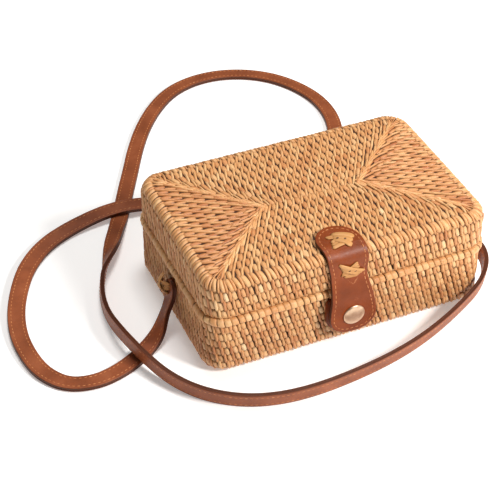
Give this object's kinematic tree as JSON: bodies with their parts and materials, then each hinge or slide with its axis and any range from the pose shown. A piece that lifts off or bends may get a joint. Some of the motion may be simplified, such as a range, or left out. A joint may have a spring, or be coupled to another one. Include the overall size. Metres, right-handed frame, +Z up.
{
  "type": "woven box handbag",
  "caption": "Rectangular coiled-grass box bag with a hinged lid, a leather snap tab and a long leather shoulder strap tied on with grass knots.",
  "frame": {"origin": "centre of the basket's bottom, on the surface that it stands on", "axes": "+Z up; the front with the closure tab faces -Y; +X is the viewer's right from the front, along the bag's length"},
  "size_m": [0.3186, 0.3727, 0.079],
  "materials": {
    "grass": "satin coiled grass",
    "straw": "pale grass, matte",
    "lining": "plain woven cotton",
    "leather": "smooth satin",
    "leather_back": "flesh side, matte",
    "brass": "antique, satin"
  },
  "bodies": {
    "base": {"base_shell": "grass", "base_rim": "grass", "base_lining": "lining", "hinge_lashing_left": "straw", "hinge_lashing_right": "straw", "socket_patch": "leather", "patch_knot_upper": "straw", "patch_knot_lower": "straw", "snap_stud": "brass", "snap_washer": "brass", "strap_end_left": "leather", "strap_end_right": "leather", "strap_knot_left": "straw", "strap_knot_right": "straw", "strap_flat_run": "leather", "strap_twist": "leather", "strap_edge_run": "leather"},
    "lid": {"lid_shell": "grass", "lid_lining": "lining", "tab_anchor_inner": "leather_back", "tab_anchor_outer": "leather", "tab_knot_upper": "straw", "tab_knot_lower": "straw"},
    "tab_flap": {"tab_flap_inner": "leather_back", "tab_flap_outer": "leather", "snap_cap": "brass", "snap_socket": "brass"}
  },
  "joints": [
    {"name": "lid_hinge", "type": "hinge", "parent": "base", "child": "lid", "pos_m": [0, 0.0671, 0.04655], "axis": [-1, 0, 0], "range_deg": [0, 110]},
    {"name": "tab_flex", "type": "hinge", "parent": "lid", "child": "tab_flap", "pos_m": [0, -0.06875, 0.0524], "axis": [-1, 0, 0], "range_deg": [0, 75]}
  ]
}
